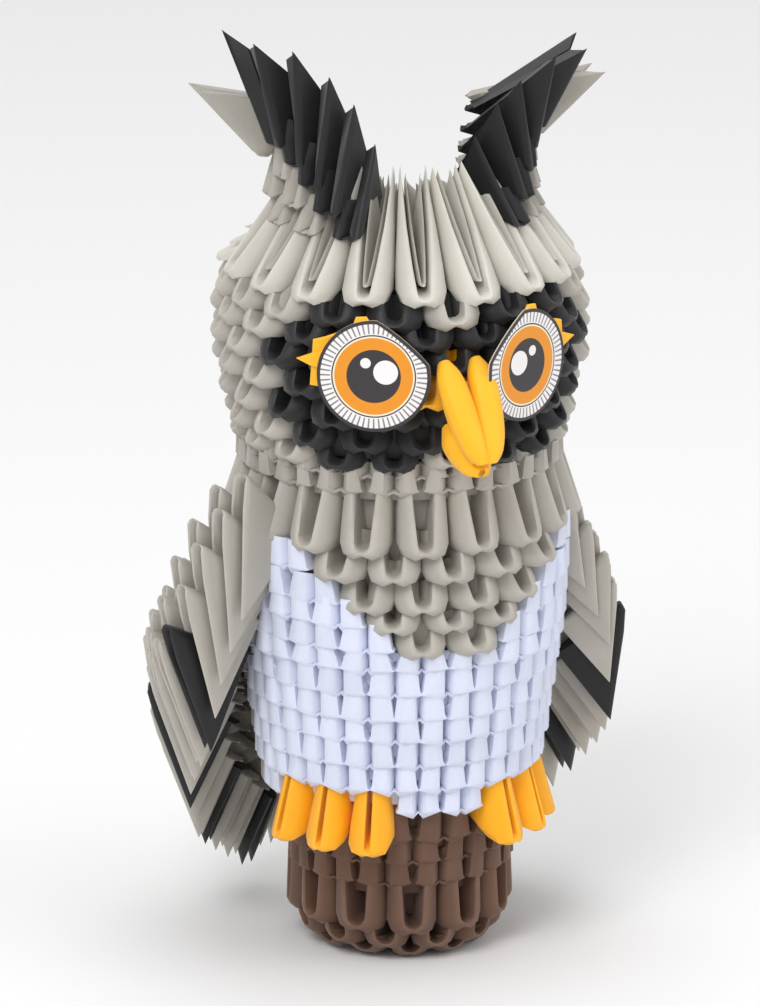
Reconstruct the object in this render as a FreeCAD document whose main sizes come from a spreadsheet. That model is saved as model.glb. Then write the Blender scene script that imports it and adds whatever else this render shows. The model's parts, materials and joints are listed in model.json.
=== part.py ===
import FreeCAD, Part
import math
import os
import Sketcher

# A standing owl folded from paper strips. Every strip is folded into the same
# pocketed triangle: two wings joined by a fold. Rings of these triangles are
# stacked, and each ring is turned half a step from the ring below, so a triangle
# straddles two neighbours and their tips enter its two pockets.
# +Z is up, the owl faces -Y and the rings are centred on the Z axis.

doc = FreeCAD.newDocument("folded_paper_owl")
sheet = doc.addObject("Spreadsheet::Sheet", "Sizes")

# One folded triangle
SIZES = [
    ("leg", 25.5),              # short side of the folded triangle
    ("wing_thick", 2.2),        # one wing, with the tip it has swallowed
    ("fold_thick", 1.2),        # paper along the fold
    ("fold_recess", 0.7),       # fold set back from the outer corners
    ("fin_gap", 0.4),           # free space between wings at the inner end
    ("tip_thick", 0.8),         # tip of the triangle below
    ("tip_rise", 2.4),          # how far a tip enters the pocket above
    ("tip_inset", 2.0),         # tip kept back from the wing's two sides
    ("pocket_clear", 0.15),     # clearance round a tip, each way
    ("skin_clear", 0.35),       # gap between body rings and what hangs outside
    ("base_turn", 7.5),         # half the angle between a base triangle's wings
    ("body_turn", 5.0),         # the same for body and head triangles
    ("cape_turn", 3.5),         # the same for the wing capes
]

# Rings from the floor up: name, outer radius, rise to the next ring and the
# angle by which the outer edge leans inward.
RINGS = [
    ("base_one", 22.5, 2.9, 0.0),
    ("base_two", 25.5, 5.3, 0.0),
    ("base_three", 28.5, 13.9, 3.0),
    ("base_four", 28.5, 5.9, 0.0),
    ("base_five", 29.3, 6.4, 0.0),
    ("base_six", 30.8, 8.1, 0.0),
    ("belly_one", 34.8, 6.7, 0.0),
    ("belly_two", 36.6, 6.5, 0.0),
    ("belly_three", 37.6, 6.6, 0.0),
    ("belly_four", 38.4, 5.9, 0.0),
    ("belly_five", 39.3, 6.8, 0.0),
    ("belly_six", 40.2, 6.7, 0.0),
    ("belly_seven", 41.2, 5.1, 0.0),
    ("chest_one", 43.0, 6.4, 35.0),
    ("chest_two", 43.4, 5.4, 40.0),
    ("chest_three", 43.8, 7.7, 30.0),
    ("chest_four", 44.2, 6.9, 30.0),
    ("collar", 44.8, 14.2, 22.0),
    ("neck_one", 41.0, 3.8, 0.0),
    ("neck_two", 40.6, 3.4, 0.0),
    ("face_one", 42.5, 5.0, 35.0),
    ("face_two", 43.8, 6.5, 30.0),
    ("face_three", 45.2, 7.4, 30.0),
    ("face_four", 46.8, 6.6, 30.0),
    ("face_five", 47.4, 6.2, 30.0),
    ("face_six", 46.8, 5.2, 35.0),
    ("face_seven", 46.0, 5.6, 35.0),
]
RING_NAMES = [ring[0] for ring in RINGS]
BASE_RINGS = RING_NAMES[:6]
BODY_RINGS = RING_NAMES[6:20]
FACE_RINGS = RING_NAMES[20:]
CROWN = [("radius_crown", 45.0), ("rise_crown", 25.5)]

# Ear rows: outer corner of the fold (radius, height over the crown ring's fold)
# and the tilt of the row, positive inward.
EAR_ROWS = [
    ("ear_one", 36.0, 12.9, 29.0),
    ("ear_two", 36.0, 18.6, 15.0),
    ("ear_three", 35.2, 24.2, 2.0),
    ("ear_four", 36.0, 29.4, -11.0),
    ("ear_five", 36.2, 33.4, -22.0),
]

# Cape rows hang tips down outside the body. A station gives the row number, then
# its shoulder and its tip: distance beyond the body's skin, and distance below the
# neck, of each. The rows between two stations are spaced evenly.
CAPE_STATIONS = [
    ("skin", 0, 0.3, -1.0, 0.3, 32.0),
    ("top", 1, 6.3, -4.0, 7.0, 34.5),
    ("mid", 5, 16.6, 13.9, 9.5, 52.0),
    ("black", 9, 22.1, 36.1, 9.0, 70.9),
    ("turn", 12, 20.1, 53.3, 8.0, 88.3),
    ("low", 15, 19.3, 75.2, 7.0, 106.1),
    ("last", 19, 18.3, 90.3, 7.8, 121.1),
]
EDGE_ROW = 9            # from this row on, each row starts one half step further back
BLACK_EDGES = (9, 13, 16, 19)

FITTINGS = [
    ("corner_blunt", 1.0),      # blunt end left on an ear wing's inner corner
    ("cape_front_top", 69.0),   # round from the front to the first triangle of row 1
    ("cape_front", 80.0),       # the same for the edge row
    ("cape_back", 157.5),       # no cape triangle lies further round than this
    ("toe_reach", 8.6),         # toe corner beyond its ring's radius
    ("toe_drop", 6.0),          # toe corner below its ring's fold
    ("eye_radius", 13.9),
    ("eye_thick", 0.6),
    ("eye_stand", 0.5),         # free space between the face and an eye disc
    ("eye_brow", 10.8),         # eye centre to its straight brow
    ("brow_turn", 40.0),        # how far the brow slopes down towards the beak
    ("eye_rise", 5.8),          # eye centre above the fold of face_four
    ("eye_turn_left", 25.5),
    ("eye_turn_right", 21.0),
    ("eye_swing_left", 0.0),    # how far a disc faces further round than it sits
    ("eye_swing_right", 10.0),
    ("pad_turn", 22.0),         # eye centre round to the middle of its pad
    ("pad_half", 3.5),          # half the angle between a pad's wings
    ("pad_out", 3.4),
    ("pad_tall", 17.0),
    ("beak_half", 4.6),         # half the angle between the beak's two ridges
    ("beak_rise", 7.2),         # root of the upper beak above face_four's fold
    ("beak_tall", 14.0),
    ("beak_reach", 13.9),
    ("beak_drop", 21.1),        # tip below the root
    ("jaw_reach", 8.0),
    ("jaw_tall", 12.0),
    ("jaw_gap", 0.4),
]


def set_size(alias, value, row):
    """Write one plain number into the sheet under its own alias."""
    sheet.set("A%d" % row, alias)
    sheet.set("B%d" % row, str(value))
    sheet.setAlias("B%d" % row, alias)


def all_sizes():
    """Every driving size: the triangle, the rings, ears, capes and fittings."""
    listed = SIZES + CROWN
    for name, radius, rise, lean in RINGS:
        listed += [("radius_" + name, radius), ("rise_" + name, rise), ("lean_" + name, lean)]
    for name, radius, height, tilt in EAR_ROWS:
        listed += [("radius_" + name, radius), ("height_" + name, height), ("tilt_" + name, tilt)]
    for name, _row, top_out, top_drop, tip_out, tip_drop in CAPE_STATIONS:
        listed += [("cape_top_out_" + name, top_out), ("cape_top_drop_" + name, top_drop)]
        listed += [("cape_tip_out_" + name, tip_out), ("cape_tip_drop_" + name, tip_drop)]
    return listed + FITTINGS


for index, (alias, value) in enumerate(all_sizes()):
    set_size(alias, value, index + 1)
doc.recompute()


def size(alias):
    """The sheet's value, for the shapes that are worked out in code."""
    return float(sheet.get(alias))


def turn_of(ring):
    return "Sizes.base_turn" if ring in BASE_RINGS else "Sizes.body_turn"


def inner_of(radius, turn):
    """Inner end of a wing: a leg in from the radius, or where wings would crowd."""
    crowd = "(Sizes.wing_thick + Sizes.fin_gap) / (2 * sin(%s * 1deg))" % turn
    return "max(%s - Sizes.leg; %s)" % (radius, crowd)


def lift_of(ring):
    """Height of a ring's fold: the rises of all the rings under it."""
    below = RING_NAMES if ring == "crown" else RING_NAMES[:RING_NAMES.index(ring)]
    return " + ".join(["0"] + ["Sizes.rise_" + name for name in below])


def role_of(body, role):
    return [item for item in body.Origin.OriginFeatures if item.Role == role][0]


def outline(body, name, turn, points):
    """A closed outline in a plane through the Z axis, turned about it by turn degrees.

    Each point is a pair of expressions: distance from the axis and height."""
    sketch = body.newObject("Sketcher::SketchObject", name)
    sketch.AttachmentSupport = [(role_of(body, "XZ_Plane"), "")]
    sketch.MapMode = "FlatFace"
    sketch.AttachmentOffset = FreeCAD.Placement(
        FreeCAD.Vector(0, 0, 0), FreeCAD.Rotation(FreeCAD.Vector(0, 1, 0), 1.0))
    sketch.setExpression("AttachmentOffset.Rotation.Angle", turn)
    start = [FreeCAD.Vector(sheet_value(out), sheet_value(up), 0) for out, up in points]
    count = len(start)
    for k in range(count):
        sketch.addGeometry(Part.LineSegment(start[k], start[(k + 1) % count]), False)
    for k in range(count):
        sketch.addConstraint(Sketcher.Constraint("Coincident", k, 2, (k + 1) % count, 1))
    for k, (out, up) in enumerate(points):
        across = sketch.addConstraint(Sketcher.Constraint("DistanceX", -1, 1, k, 1, start[k].x))
        sketch.setExpression("Constraints[%d]" % across, out)
        along = sketch.addConstraint(Sketcher.Constraint("DistanceY", -1, 1, k, 1, start[k].y))
        sketch.setExpression("Constraints[%d]" % along, up)
    return sketch


def sheet_value(expression):
    return float(sheet.evalExpression(expression))


def fold_sector(body, points, turn):
    """The fold: a sector about the Z axis that reaches from one wing to the other."""
    sketch = outline(body, body.Name + "_fold", "0", points)
    fold = body.newObject("PartDesign::Revolution", body.Name + "_fold_sector")
    fold.Profile = sketch
    fold.ReferenceAxis = (sketch, ["V_Axis"])
    fold.Midplane = True
    fold.setExpression("Angle", "2 * %s" % turn)
    return fold


def plate(body, tag, points, turn, thickness):
    """A flat plate in the plane at the given turn."""
    sketch = outline(body, "%s_%s" % (body.Name, tag), turn, points)
    pad = body.newObject("PartDesign::Pad", "%s_%s_pad" % (body.Name, tag))
    pad.Profile = sketch
    pad.SideType = "Symmetric"
    pad.setExpression("Length", thickness)
    return pad


def slot(body, tag, points, turn, width):
    """A pocket cut into a wing from below."""
    sketch = outline(body, "%s_%s" % (body.Name, tag), turn, points)
    cut = body.newObject("PartDesign::Pocket", "%s_%s_cut" % (body.Name, tag))
    cut.Profile = sketch
    cut.SideType = "Symmetric"
    cut.setExpression("Length", width)
    return cut


def widest(rings):
    return "max(%s)" % "; ".join("Sizes.radius_" + ring for ring in rings)


BODY_SKIN = widest(BODY_RINGS) + " + Sizes.skin_clear"
FACE_SKIN = widest(FACE_RINGS) + " + Sizes.skin_clear"


def finish_body(body):
    doc.recompute()
    return body


def tip_span(lower, upper):
    """Radii between which the lower ring's tips enter the upper ring's pockets."""
    turn = turn_of(upper)
    lower_in = inner_of("Sizes.radius_" + lower, turn)
    upper_in = inner_of("Sizes.radius_" + upper, turn)
    lower_out = "Sizes.radius_%s - Sizes.rise_%s * tan(Sizes.lean_%s * 1deg)" % (lower, lower, lower)
    if upper == "crown":
        slope = "(Sizes.radius_crown - %s) / Sizes.rise_crown" % upper_in
    else:
        slope = "tan(Sizes.lean_%s * 1deg)" % upper
    upper_out = "Sizes.radius_%s - (Sizes.tip_rise + Sizes.pocket_clear) * %s" % (upper, slope)
    near = "max(%s; %s) + Sizes.tip_inset" % (lower_in, upper_in)
    far = "min(%s; %s) - Sizes.tip_inset" % (lower_out, upper_out)
    return near, far


def add_tips(body, ring, upper, turn):
    """The two tips that enter the ring above."""
    near, far = tip_span(ring, upper)
    low = "Sizes.rise_%s / 2" % ring
    high = "Sizes.rise_%s + Sizes.tip_rise" % ring
    points = [(near, low), (far, low), (far, high), (near, high)]
    for tag, sign in (("tip_left", ""), ("tip_right", "-")):
        plate(body, tag, points, sign + turn, "Sizes.tip_thick")


def cut_pockets(body, lower, ring, turn):
    """The two pockets that take the tips of the ring below."""
    near, far = tip_span(lower, ring)
    near += " - Sizes.pocket_clear"
    far += " + Sizes.pocket_clear"
    high = "Sizes.tip_rise + Sizes.pocket_clear"
    points = [(near, "-Sizes.fold_thick"), (far, "-Sizes.fold_thick"), (far, high), (near, high)]
    for tag, sign in (("pocket_left", ""), ("pocket_right", "-")):
        slot(body, tag, points, sign + turn, "Sizes.tip_thick + 2 * Sizes.pocket_clear")


def ring_triangle(ring, wings, label=None):
    """One folded triangle of a ring, its middle plane through +X, its fold at height 0.

    wings holds the outlines of the left and right wing."""
    turn = turn_of(ring)
    radius = "Sizes.radius_" + ring
    inner = inner_of(radius, turn)
    body = doc.addObject("PartDesign::Body", "triangle_" + (label or ring))
    rim = radius + " - Sizes.fold_recess"
    fold_sector(body, [(inner, "0"), (rim, "0"), (rim, "Sizes.fold_thick"),
                       (inner, "Sizes.fold_thick")], turn)
    plate(body, "wing_left", wings[0], turn, "Sizes.wing_thick")
    plate(body, "wing_right", wings[1], "-" + turn, "Sizes.wing_thick")
    place = (RING_NAMES + ["crown"]).index(ring)
    if ring != "crown" and ring != BASE_RINGS[-1]:
        add_tips(body, ring, (RING_NAMES + ["crown"])[place + 1], turn)
    if ring != BASE_RINGS[0] and ring != BODY_RINGS[0]:
        cut_pockets(body, RING_NAMES[place - 1], ring, turn)
    return finish_body(body)


def plain_wing(ring):
    """A wing trimmed to the height of its ring."""
    radius = "Sizes.radius_" + ring
    rise = "Sizes.rise_" + ring
    inner = inner_of(radius, turn_of(ring))
    top = "%s - %s * tan(Sizes.lean_%s * 1deg)" % (radius, rise, ring)
    return [(inner, "0"), (radius, "0"), (top, rise), (inner, rise)]


def toe_wing():
    """A belly_one wing whose outer corner is drawn out and down to a toe."""
    inner, outer, top, inner_top = plain_wing("belly_one")
    toe = ("Sizes.radius_belly_one + Sizes.toe_reach", "-Sizes.toe_drop")
    return [inner, outer, toe, top, inner_top]


def crown_inner():
    return inner_of("Sizes.radius_crown", "Sizes.body_turn")


def crown_wing():
    """A whole wing with its tip free."""
    return [(crown_inner(), "0"), ("Sizes.radius_crown", "0"), (crown_inner(), "Sizes.rise_crown")]


def ear_inner(row):
    """Inner end of an ear wing: short of its inner corner and of its neighbours."""
    crowd = inner_of("0", "Sizes.body_turn")
    corner = "Sizes.radius_%s - Sizes.leg * cos(Sizes.tilt_%s * 1deg) + Sizes.corner_blunt" % (row, row)
    return "max(%s; %s)" % (crowd, corner)


def ear_line(row, radius):
    """Height of an ear row's fold line at a radius."""
    return "Sizes.height_%s - (Sizes.radius_%s - (%s)) * tan(Sizes.tilt_%s * 1deg)" % (
        row, row, radius, row)


def crown_seat():
    """A crown wing cut along the fold line of the lowest ear row."""
    inner = crown_inner()
    steep = "(Sizes.rise_crown / (Sizes.radius_crown - %s))" % inner
    lean = "tan(Sizes.tilt_ear_one * 1deg)"
    meet = "(Sizes.radius_crown * %s - Sizes.height_ear_one + Sizes.radius_ear_one * %s) / (%s + %s)" % (
        steep, lean, lean, steep)
    return [(inner, "0"), ("Sizes.radius_crown", "0"), (meet, ear_line("ear_one", meet)),
            (inner, ear_line("ear_one", inner))]


def ear_wing(row, above):
    """A wing from its row's fold line to the row above, or to its own free tip."""
    inner = ear_inner(row)
    radius = "Sizes.radius_" + row
    height = "Sizes.height_" + row
    tilt = "Sizes.tilt_%s * 1deg" % row
    low = [(inner, ear_line(row, inner)), (radius, height)]
    if above:
        high_in = "max(%s; %s)" % (inner, ear_inner(above))
        return low + [("Sizes.radius_" + above, "Sizes.height_" + above),
                      (high_in, ear_line(above, high_in))]
    tip = ("%s - Sizes.leg * sin(%s)" % (radius, tilt), "%s + Sizes.leg * cos(%s)" % (height, tilt))
    corner_out = "(%s - Sizes.leg * cos(%s))" % (radius, tilt)
    corner_up = "(%s - Sizes.leg * sin(%s))" % (height, tilt)
    slope = "(cos(%s) + sin(%s)) / (cos(%s) - sin(%s))" % (tilt, tilt, tilt, tilt)
    return low + [tip, (inner, "%s + (%s - %s) * %s" % (corner_up, inner, corner_out, slope))]


def ear_triangle(row, above_front, above_back):
    """One ear triangle; its left wing is the one nearer the face."""
    label = "triangle_%s_%s_%s" % (row, above_front or "free", above_back or "free")
    body = doc.addObject("PartDesign::Body", label)
    inner = ear_inner(row)
    low = ear_line(row, inner)
    radius = "Sizes.radius_%s" % row
    height = "Sizes.height_" + row
    thick = " + Sizes.fold_thick"
    rim = radius + " - Sizes.fold_recess"
    fold_sector(body, [(inner, low), (rim, ear_line(row, rim)), (rim, height + thick), (inner, low + thick)],
                "Sizes.body_turn")
    plate(body, "wing_front", ear_wing(row, above_front), "Sizes.body_turn", "Sizes.wing_thick")
    plate(body, "wing_back", ear_wing(row, above_back), "-Sizes.body_turn", "Sizes.wing_thick")
    return finish_body(body)


def cape_point(row, end):
    """Shoulder or tip of a cape row: radius and height, between two stations."""
    below = [station for station in CAPE_STATIONS if station[1] <= row][-1]
    above = [station for station in CAPE_STATIONS if station[1] >= row][0]
    span = above[1] - below[1]
    share = (row - below[1]) / span if span else 0.0
    pair = []
    for kind in ("out", "drop"):
        first = "Sizes.cape_%s_%s_%s" % (end, kind, below[0])
        last = "Sizes.cape_%s_%s_%s" % (end, kind, above[0])
        pair.append("(%s + (%s - %s) * %.6f)" % (first, last, first, share))
    return BODY_SKIN + " + " + pair[0], "%s - %s" % (lift_of("neck_one"), pair[1])


def cape_triangle(row):
    """One cape triangle: two wings between its row's line and the row inside it."""
    body = doc.addObject("PartDesign::Body", "triangle_cape_%d" % row)
    top_in = cape_point(row - 1, "top")
    top_out = cape_point(row, "top")
    tip_out = cape_point(row, "tip")
    tip_in = cape_point(row - 1, "tip")
    fold_out = part_way(top_out, tip_out)
    fold_in = part_way(top_in, tip_in)
    fold_sector(body, [top_in, top_out, fold_out, fold_in], "Sizes.cape_turn")
    for tag, sign in (("wing_left", ""), ("wing_right", "-")):
        plate(body, tag, [top_in, top_out, tip_out, tip_in], sign + "Sizes.cape_turn", "Sizes.wing_thick")
    return finish_body(body)


def part_way(top, tip):
    """A point below a wing's shoulder, as far down its edge as the fold is thick."""
    share = "2 * Sizes.fold_thick / Sizes.leg"
    return tuple("(%s) + (%s - (%s)) * %s" % (top[k], tip[k], top[k], share) for k in (0, 1))


def about_axis(shape, turn):
    """A copy turned about Z, from +X to the given angle round from the owl's front."""
    copy = shape.copy()
    copy.Placement = FreeCAD.Placement(
        FreeCAD.Vector(0, 0, 0), FreeCAD.Rotation(FreeCAD.Vector(0, 0, 1), turn - 90)
    ).multiply(copy.Placement)
    return copy


def raised(shape, height):
    copy = shape.copy()
    copy.translate(FreeCAD.Vector(0, 0, height))
    return copy


nodes = []


def group(label, shapes, lift="0"):
    """A node: a group of separate triangles, raised to the height of its ring."""
    node = doc.addObject("Part::Feature", label)
    node.Label = label
    node.Shape = Part.makeCompound(shapes)
    node.Placement = FreeCAD.Placement(FreeCAD.Vector(0, 0, 0), FreeCAD.Rotation())
    node.setExpression("Placement.Base.z", lift)
    nodes.append(node)


def around(first, step, count):
    return [first + step * k for k in range(count)]


def both(angles):
    """Angles on both sides of the front, with 0 and 180 only once."""
    return sorted({-angle if angle not in (0, 180) else angle for angle in angles} | set(angles))


ODD = around(-170, 20, 18)
EVEN = around(-160, 20, 18)


def build_base():
    """Six brown rings of twelve, the lowest three splayed into a bowl."""
    for k, ring in enumerate(BASE_RINGS):
        triangle = ring_triangle(ring, [plain_wing(ring), plain_wing(ring)]).Shape
        first = -11 if k % 2 == 0 else 4
        group(ring, [about_axis(triangle, angle) for angle in around(first, 30, 12)], lift_of(ring))


def split_ring(ring, angles_by_node):
    """One ring whose triangles are shared out between nodes by colour."""
    triangle = ring_triangle(ring, [plain_wing(ring), plain_wing(ring)]).Shape
    for label, angles in angles_by_node.items():
        group(label, [about_axis(triangle, angle) for angle in angles], lift_of(ring))
    return triangle


def build_belly():
    """Seven rings: white in front, grey behind, with six orange toes at the lowest."""
    backs = {"back_lower": [], "back_upper": []}
    for k, ring in enumerate(BODY_RINGS[:7]):
        angles = ODD if k % 2 == 0 else EVEN
        white = [angle for angle in angles if abs(angle) <= 100]
        if k == 0:
            white = both([10, 90])
        triangle = split_ring(ring, {ring: white})
        back = [about_axis(triangle, angle) for angle in angles if abs(angle) > 100]
        height = sheet_value(lift_of(ring))
        backs["back_lower" if k < 3 else "back_upper"] += [raised(shape, height) for shape in back]
    for label, shapes in backs.items():
        group(label, shapes)
    toe = ring_triangle("belly_one", [toe_wing(), toe_wing()], "toe").Shape
    for label, sign in (("foot_left", -1), ("foot_right", 1)):
        toes = [about_axis(toe, sign * angle) for angle in (30, 50, 70)]
        group(label, toes, lift_of("belly_one"))


def build_chest():
    """Four rings with a widening grey bib, white shoulders and a grey back, then
    the tall collar and the two narrow neck rings."""
    bibs = [[10], [0, 20], [10, 30], [0, 20, 40]]
    for k, ring in enumerate(BODY_RINGS[7:11]):
        angles = ODD if k % 2 == 0 else EVEN
        bib = both(bibs[k])
        white = [angle for angle in angles if angle not in bib and abs(angle) <= 100]
        grey = [angle for angle in angles if angle not in white]
        split_ring(ring, {ring: grey, ring.replace("chest", "shoulder"): white})
    for ring, angles in zip(BODY_RINGS[11:], (ODD, EVEN, ODD)):
        split_ring(ring, {ring: angles})


def build_face():
    """Seven rings with a black mask in front; two orange cheeks in the fourth."""
    masks = [[20, 40], [10, 30, 50], [0, 20, 40, 60], [30, 50], [0, 20, 40, 60], [10, 30, 50], [20, 40]]
    for k, ring in enumerate(FACE_RINGS):
        angles = EVEN if k % 2 == 0 else ODD
        mask = both(masks[k])
        shares = {ring.replace("face", "mask"): mask}
        if ring == "face_four":
            shares["cheeks"] = both([10])
        used = sum(shares.values(), [])
        shares[ring.replace("face", "hood")] = [angle for angle in angles if angle not in used]
        split_ring(ring, shares)


def build_crown():
    """Eighteen triangles whose tips stand free, cut back where the ears sit."""
    free = crown_wing()
    seat = crown_seat()
    open_front = ring_triangle("crown", [free, free]).Shape
    left_half = ring_triangle("crown", [free, seat], "crown_left_half").Shape
    right_half = ring_triangle("crown", [seat, free], "crown_right_half").Shape
    seated = ring_triangle("crown", [seat, seat], "crown_seat").Shape
    kinds = {-30: left_half, 30: right_half}
    kinds.update({angle: seated for angle in both([50, 70, 90])})
    group("crown", [about_axis(kinds.get(angle, open_front), angle) for angle in ODD], lift_of("crown"))


EAR_TRIANGLES = [
    ("ear_one", 40, "black"), ("ear_one", 60, "grey"), ("ear_one", 80, "grey"),
    ("ear_two", 50, "black"), ("ear_two", 70, "grey"), ("ear_two", 90, "grey"),
    ("ear_three", 60, "black"), ("ear_three", 80, "grey"),
    ("ear_four", 70, "black"), ("ear_four", 90, "grey"),
    ("ear_five", 80, "black"),
]
EAR_ROW_NAMES = [row[0] for row in EAR_ROWS]


def row_above(row, fin):
    """The next ear row with a wing in the same plane."""
    higher = [EAR_ROW_NAMES.index(other) for other, turn, _colour in EAR_TRIANGLES
              if abs(turn - fin) == 5 and EAR_ROW_NAMES.index(other) > EAR_ROW_NAMES.index(row)]
    return EAR_ROW_NAMES[min(higher)] if higher else None


def build_ears():
    """Two stepped fans on the crown, each the mirror of the other."""
    made = {}
    sides = {"black": [], "grey": []}
    for row, turn, colour in EAR_TRIANGLES:
        above = (row_above(row, turn - 5), row_above(row, turn + 5))
        if (row, above) not in made:
            made[(row, above)] = ear_triangle(row, above[0], above[1]).Shape
        sides[colour].append(about_axis(made[(row, above)], -turn))
    for colour, shapes in sides.items():
        group("ear_left_" + colour, shapes, lift_of("crown"))
        mirrored = [shape.mirror(FreeCAD.Vector(0, 0, 0), FreeCAD.Vector(1, 0, 0)) for shape in shapes]
        group("ear_right_" + colour, mirrored, lift_of("crown"))


def cape_angles(row):
    """Angles round from the front of a row's triangles, from its front edge backwards."""
    step = size("cape_turn")
    if row <= EDGE_ROW:
        share = (row - 1) / (EDGE_ROW - 1)
        front = size("cape_front_top") + (size("cape_front") - size("cape_front_top")) * share
        front += 2 * step * ((row + 1) % 2)
    else:
        front = size("cape_front") + 2 * step * (row - EDGE_ROW)
    count = int((size("cape_back") - front) / (4 * step)) + 1
    return around(front, 4 * step, count)


def build_capes():
    """Two wings that hang outside the body and run down towards the back."""
    sides = {"black": [], "grey": []}
    for row in range(1, CAPE_STATIONS[-1][1] + 1):
        triangle = cape_triangle(row).Shape
        for place, angle in enumerate(cape_angles(row)):
            colour = "black" if place == 0 and row in BLACK_EDGES else "grey"
            sides[colour].append(about_axis(triangle, -angle))
    for colour, shapes in sides.items():
        group("wing_left_" + colour, shapes)
        mirrored = [shape.mirror(FreeCAD.Vector(0, 0, 0), FreeCAD.Vector(1, 0, 0)) for shape in shapes]
        group("wing_right_" + colour, mirrored)


def eye_outline(side):
    """A disc with a straight brow cut off its upper edge on the beak's side."""
    radius = size("eye_radius")
    thick = size("eye_thick")
    disc = Part.makeCylinder(radius, thick, FreeCAD.Vector(0, 0, 0), FreeCAD.Vector(1, 0, 0))
    brow = Part.makeBox(thick * 3, radius * 3, radius,
                        FreeCAD.Vector(-thick, -radius * 1.5, size("eye_brow")))
    brow.rotate(FreeCAD.Vector(0, 0, 0), FreeCAD.Vector(1, 0, 0), side * size("brow_turn"))
    return disc.cut(brow)


def build_eyes():
    """Printed card discs flat against the face, each with a folded pad at its outer edge."""
    stand = sheet_value(FACE_SKIN) + size("eye_stand")
    rise = lift_of("face_four") + " + Sizes.eye_rise"
    pad = doc.addObject("PartDesign::Body", "triangle_pad")
    inner = FACE_SKIN
    outer = FACE_SKIN + " + Sizes.pad_out"
    half = "Sizes.pad_tall / 2"
    fold_sector(pad, [(inner, "-%s" % half), (outer, "0"), (inner, "-%s + 2 * Sizes.fold_thick" % half)],
                "Sizes.pad_half")
    for tag, sign in (("wing_left", ""), ("wing_right", "-")):
        plate(pad, tag, [(inner, "-" + half), (outer, "0"), (inner, half)],
              sign + "Sizes.pad_half", "Sizes.tip_thick")
    finish_body(pad)
    for label, side in (("left", -1), ("right", 1)):
        turn = side * size("eye_turn_" + label)
        disc = eye_outline(side)
        disc.rotate(FreeCAD.Vector(0, 0, 0), FreeCAD.Vector(0, 0, 1), side * size("eye_swing_" + label))
        disc.translate(FreeCAD.Vector(stand, 0, 0))
        group("eye_" + label, [about_axis(disc, turn)], rise)
        pad_turn = turn + side * size("pad_turn")
        group("eye_pad_" + label, [about_axis(pad.Shape, pad_turn)], rise)


def build_beak():
    """A folded upper beak over a smaller jaw, standing out between the eyes."""
    root_low = "-Sizes.beak_tall"
    upper = doc.addObject("PartDesign::Body", "triangle_beak")
    tip = (FACE_SKIN + " + Sizes.beak_reach", "-Sizes.beak_drop")
    near_tip = (FACE_SKIN + " + Sizes.beak_reach * 0.8", "-Sizes.beak_drop + Sizes.fold_thick * 2")
    fold_sector(upper, [(FACE_SKIN, root_low), tip, near_tip,
                        (FACE_SKIN, root_low + " + 2 * Sizes.fold_thick")], "Sizes.beak_half")
    for tag, sign in (("ridge_left", ""), ("ridge_right", "-")):
        plate(upper, tag, [(FACE_SKIN, root_low), tip, (FACE_SKIN, "0")],
              sign + "Sizes.beak_half", "Sizes.tip_thick")
    finish_body(upper)
    jaw = doc.addObject("PartDesign::Body", "triangle_jaw")
    slope = "(Sizes.beak_drop - Sizes.beak_tall) / Sizes.beak_reach"
    lip = (FACE_SKIN + " + Sizes.jaw_reach",
           "-Sizes.beak_tall - Sizes.jaw_gap - Sizes.jaw_reach * " + slope)
    root = (FACE_SKIN, "-Sizes.beak_tall - Sizes.jaw_gap")
    chin = (FACE_SKIN, "-Sizes.beak_tall - Sizes.jaw_tall")
    fold_sector(jaw, [chin, lip, (FACE_SKIN, chin[1] + " + 2 * Sizes.fold_thick")], "Sizes.beak_half")
    for tag, sign in (("ridge_left", ""), ("ridge_right", "-")):
        plate(jaw, tag, [chin, lip, root], sign + "Sizes.beak_half", "Sizes.tip_thick")
    finish_body(jaw)
    rise = lift_of("face_four") + " + Sizes.beak_rise"
    group("beak_upper", [about_axis(upper.Shape, 0)], rise)
    group("beak_lower", [about_axis(jaw.Shape, 0)], rise)


def check_and_write():
    """Refuse a failed feature or a bad solid, then write one file for each node."""
    doc.recompute()
    for item in doc.Objects:
        if "Invalid" in item.State or "Error" in item.State:
            raise RuntimeError("%s failed: %s" % (item.Name, item.State))
    for body in doc.findObjects("PartDesign::Body"):
        if body.Shape.isNull() or not body.Shape.isValid() or len(body.Shape.Solids) != 1:
            raise RuntimeError(body.Name + " isn't one valid solid")
    for node in nodes:
        if node.Shape.isNull() or not node.Shape.isValid():
            raise RuntimeError(node.Label + " isn't valid")
    os.makedirs("parts", exist_ok=True)
    total = 0
    for node in nodes:
        node.Shape.exportStep("parts/%s.step" % node.Label)
        total += len(node.Shape.Solids)
    print(len(nodes), "nodes", total, "pieces")


build_base()
build_belly()
build_chest()
build_face()
build_crown()
build_ears()
build_capes()
build_eyes()
build_beak()
check_and_write()
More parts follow.
